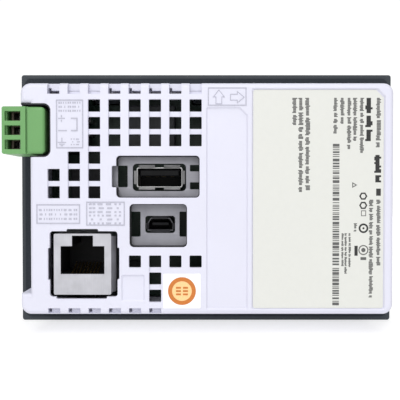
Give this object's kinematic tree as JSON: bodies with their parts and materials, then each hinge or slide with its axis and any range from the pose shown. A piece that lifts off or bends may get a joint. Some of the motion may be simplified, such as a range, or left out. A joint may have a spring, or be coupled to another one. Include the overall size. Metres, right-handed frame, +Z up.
{
  "type": "touch operator panel",
  "caption": "Small wide touch operator panel: slate bezel with a gasketed flange, vented white rear case, network and serial ports, and a green pull-off power plug with screw clamps.",
  "frame": {"origin": "centre of the panel cut-out, on the rear face of the bezel's flange that the panel is clamped to", "axes": "+X to the right seen from behind, +Z up, the case and ports face -Y and the screen faces +Y"},
  "size_m": [0.1164, 0.0285, 0.0776],
  "materials": {
    "bezel_plastic": "fine moulded texture, dark slate",
    "gasket_foam": "closed-cell foam, matt",
    "seal_rubber": "dark grey moulded rubber",
    "overlay_film": "printed polyester film, satin",
    "clear_glass": "clear",
    "flex_film": "polyimide film",
    "black_moulding": "black moulded resin",
    "sheet_steel": "satin tin-plated sheet",
    "display_cell": "dark display glass",
    "light_guide": "white light guide",
    "circuit_board": "dark green solder mask",
    "case_plastic": "fine moulded texture, cool white",
    "label_film": "printed satin film",
    "sticker_film": "white printed film",
    "screw_steel": "zinc-plated",
    "chip_resin": "moulded resin",
    "dark_sheet": "dark folded sheet",
    "ferrite": "sintered ferrite",
    "capacitor_can": "drawn can",
    "jack_steel": "nickel-plated sheet",
    "gold_contact": "gold-plated",
    "port_steel": "nickel-plated sheet",
    "dark_port_steel": "dark plated sheet",
    "tinned_contact": "tin-plated",
    "plug_plastic": "green polyamide",
    "clamp_brass": "dark tarnished brass"
  },
  "bodies": {
    "unit": {"front_bezel": "bezel_plastic", "panel_gasket": "gasket_foam", "screen_overlay": "overlay_film", "touch_panel": "clear_glass", "touch_tail": "flex_film", "touch_connector": "black_moulding", "lcd_frame": "sheet_steel", "lcd_glass": "display_cell", "lcd_backlight": "light_guide", "lcd_board": "circuit_board", "display_connector": "black_moulding", "rear_case": "case_plastic", "rating_label": "label_film", "mark_label": "sticker_film", "main_board": "circuit_board", "board_screws": "screw_steel", "processor_chip": "chip_resin", "memory_chips": "chip_resin", "network_chip": "chip_resin", "network_magnetics": "chip_resin", "converter_shield": "dark_sheet", "power_inductor": "ferrite", "capacitors": "capacitor_can", "jack_shell": "jack_steel", "jack_insert": "black_moulding", "jack_pins": "gold_contact", "port_seals": "seal_rubber", "port_shield": "sheet_steel", "port_a_shell": "port_steel", "port_a_tongue": "black_moulding", "port_a_contacts": "gold_contact", "port_mini_shell": "dark_port_steel", "port_mini_tongue": "black_moulding", "port_mini_contacts": "gold_contact", "power_seal": "seal_rubber", "power_header": "black_moulding", "header_pins": "tinned_contact"},
    "power_plug": {"plug_body": "plug_plastic", "plug_contacts": "tinned_contact"},
    "network_contacts": {"jack_contacts": "gold_contact"},
    "cage_1": {"clamp_cage_1": "clamp_brass"},
    "screw_1": {"terminal_screw_1": "screw_steel"},
    "cage_2": {"clamp_cage_2": "clamp_brass"},
    "screw_2": {"terminal_screw_2": "screw_steel"},
    "cage_3": {"clamp_cage_3": "clamp_brass"},
    "screw_3": {"terminal_screw_3": "screw_steel"}
  },
  "joints": [
    {"name": "plug_pull", "type": "slide", "parent": "unit", "child": "power_plug", "axis": [-1, 0, 0], "range_m": [0, 0.014]},
    {"name": "screw_turn_1", "type": "hinge", "parent": "power_plug", "child": "screw_1", "pos_m": [-0.0555, -0.0153, 0.02311], "axis": [1, 0, 0], "range_deg": [0, 990]},
    {"name": "cage_draw_1", "type": "slide", "parent": "power_plug", "child": "cage_1", "axis": [-1, 0, 0], "range_m": [0, 0.0011]},
    {"name": "screw_turn_2", "type": "hinge", "parent": "power_plug", "child": "screw_2", "pos_m": [-0.0555, -0.0153, 0.01915], "axis": [1, 0, 0], "range_deg": [0, 990]},
    {"name": "cage_draw_2", "type": "slide", "parent": "power_plug", "child": "cage_2", "axis": [-1, 0, 0], "range_m": [0, 0.0011]},
    {"name": "screw_turn_3", "type": "hinge", "parent": "power_plug", "child": "screw_3", "pos_m": [-0.0555, -0.0153, 0.01519], "axis": [1, 0, 0], "range_deg": [0, 990]},
    {"name": "cage_draw_3", "type": "slide", "parent": "power_plug", "child": "cage_3", "axis": [-1, 0, 0], "range_m": [0, 0.0011]},
    {"name": "contact_flex", "type": "hinge", "parent": "unit", "child": "network_contacts", "pos_m": [-0.03495, -0.0201, -0.0219], "axis": [-1, 0, 0], "range_deg": [0, 12], "stiffness_Nm_per_rad": 0.3}
  ],
  "couplings": [
    {"joint": "screw_turn_1", "follows": "cage_draw_1", "rad_per_m": 15708},
    {"joint": "screw_turn_2", "follows": "cage_draw_2", "rad_per_m": 15708},
    {"joint": "screw_turn_3", "follows": "cage_draw_3", "rad_per_m": 15708}
  ]
}
